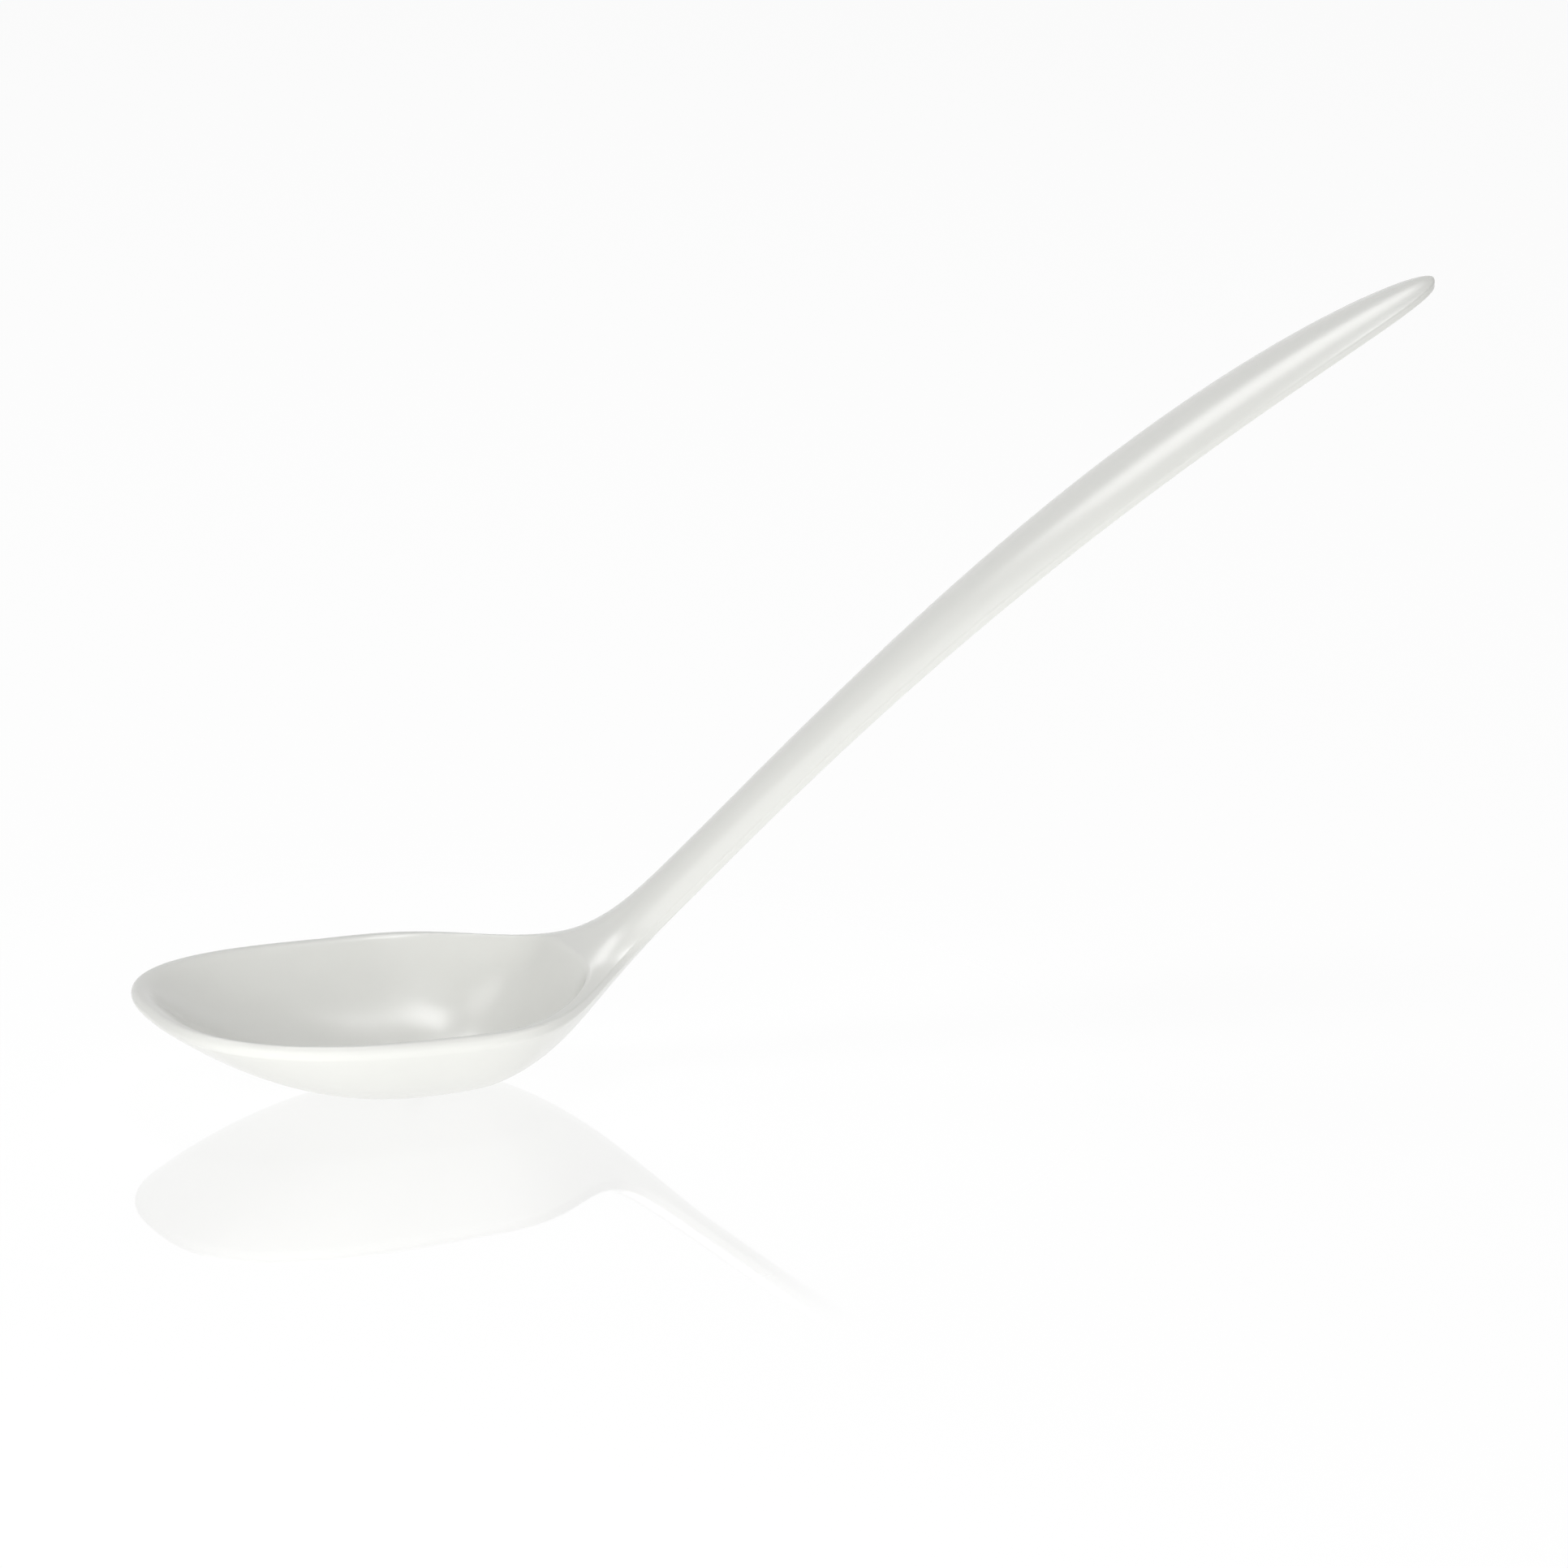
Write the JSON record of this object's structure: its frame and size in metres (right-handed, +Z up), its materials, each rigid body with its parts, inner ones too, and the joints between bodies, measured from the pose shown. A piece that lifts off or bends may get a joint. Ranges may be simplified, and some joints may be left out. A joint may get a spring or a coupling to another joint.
{
  "type": "serving spoon",
  "caption": "Moulded off-white serving spoon with a deep egg-shaped bowl, broad shoulders and a long arched handle that rises to a rounded tip.",
  "frame": {"origin": "middle of the small flat under the bowl, on the surface that the spoon rests on", "axes": "+Z up, +X from the nose of the bowl towards the handle's tip, Y across the width"},
  "size_m": [0.279, 0.0714, 0.1409],
  "materials": {
    "melamine": "gloss"
  },
  "bodies": {
    "root": {"bowl": "melamine", "handle": "melamine"}
  },
  "joints": []
}
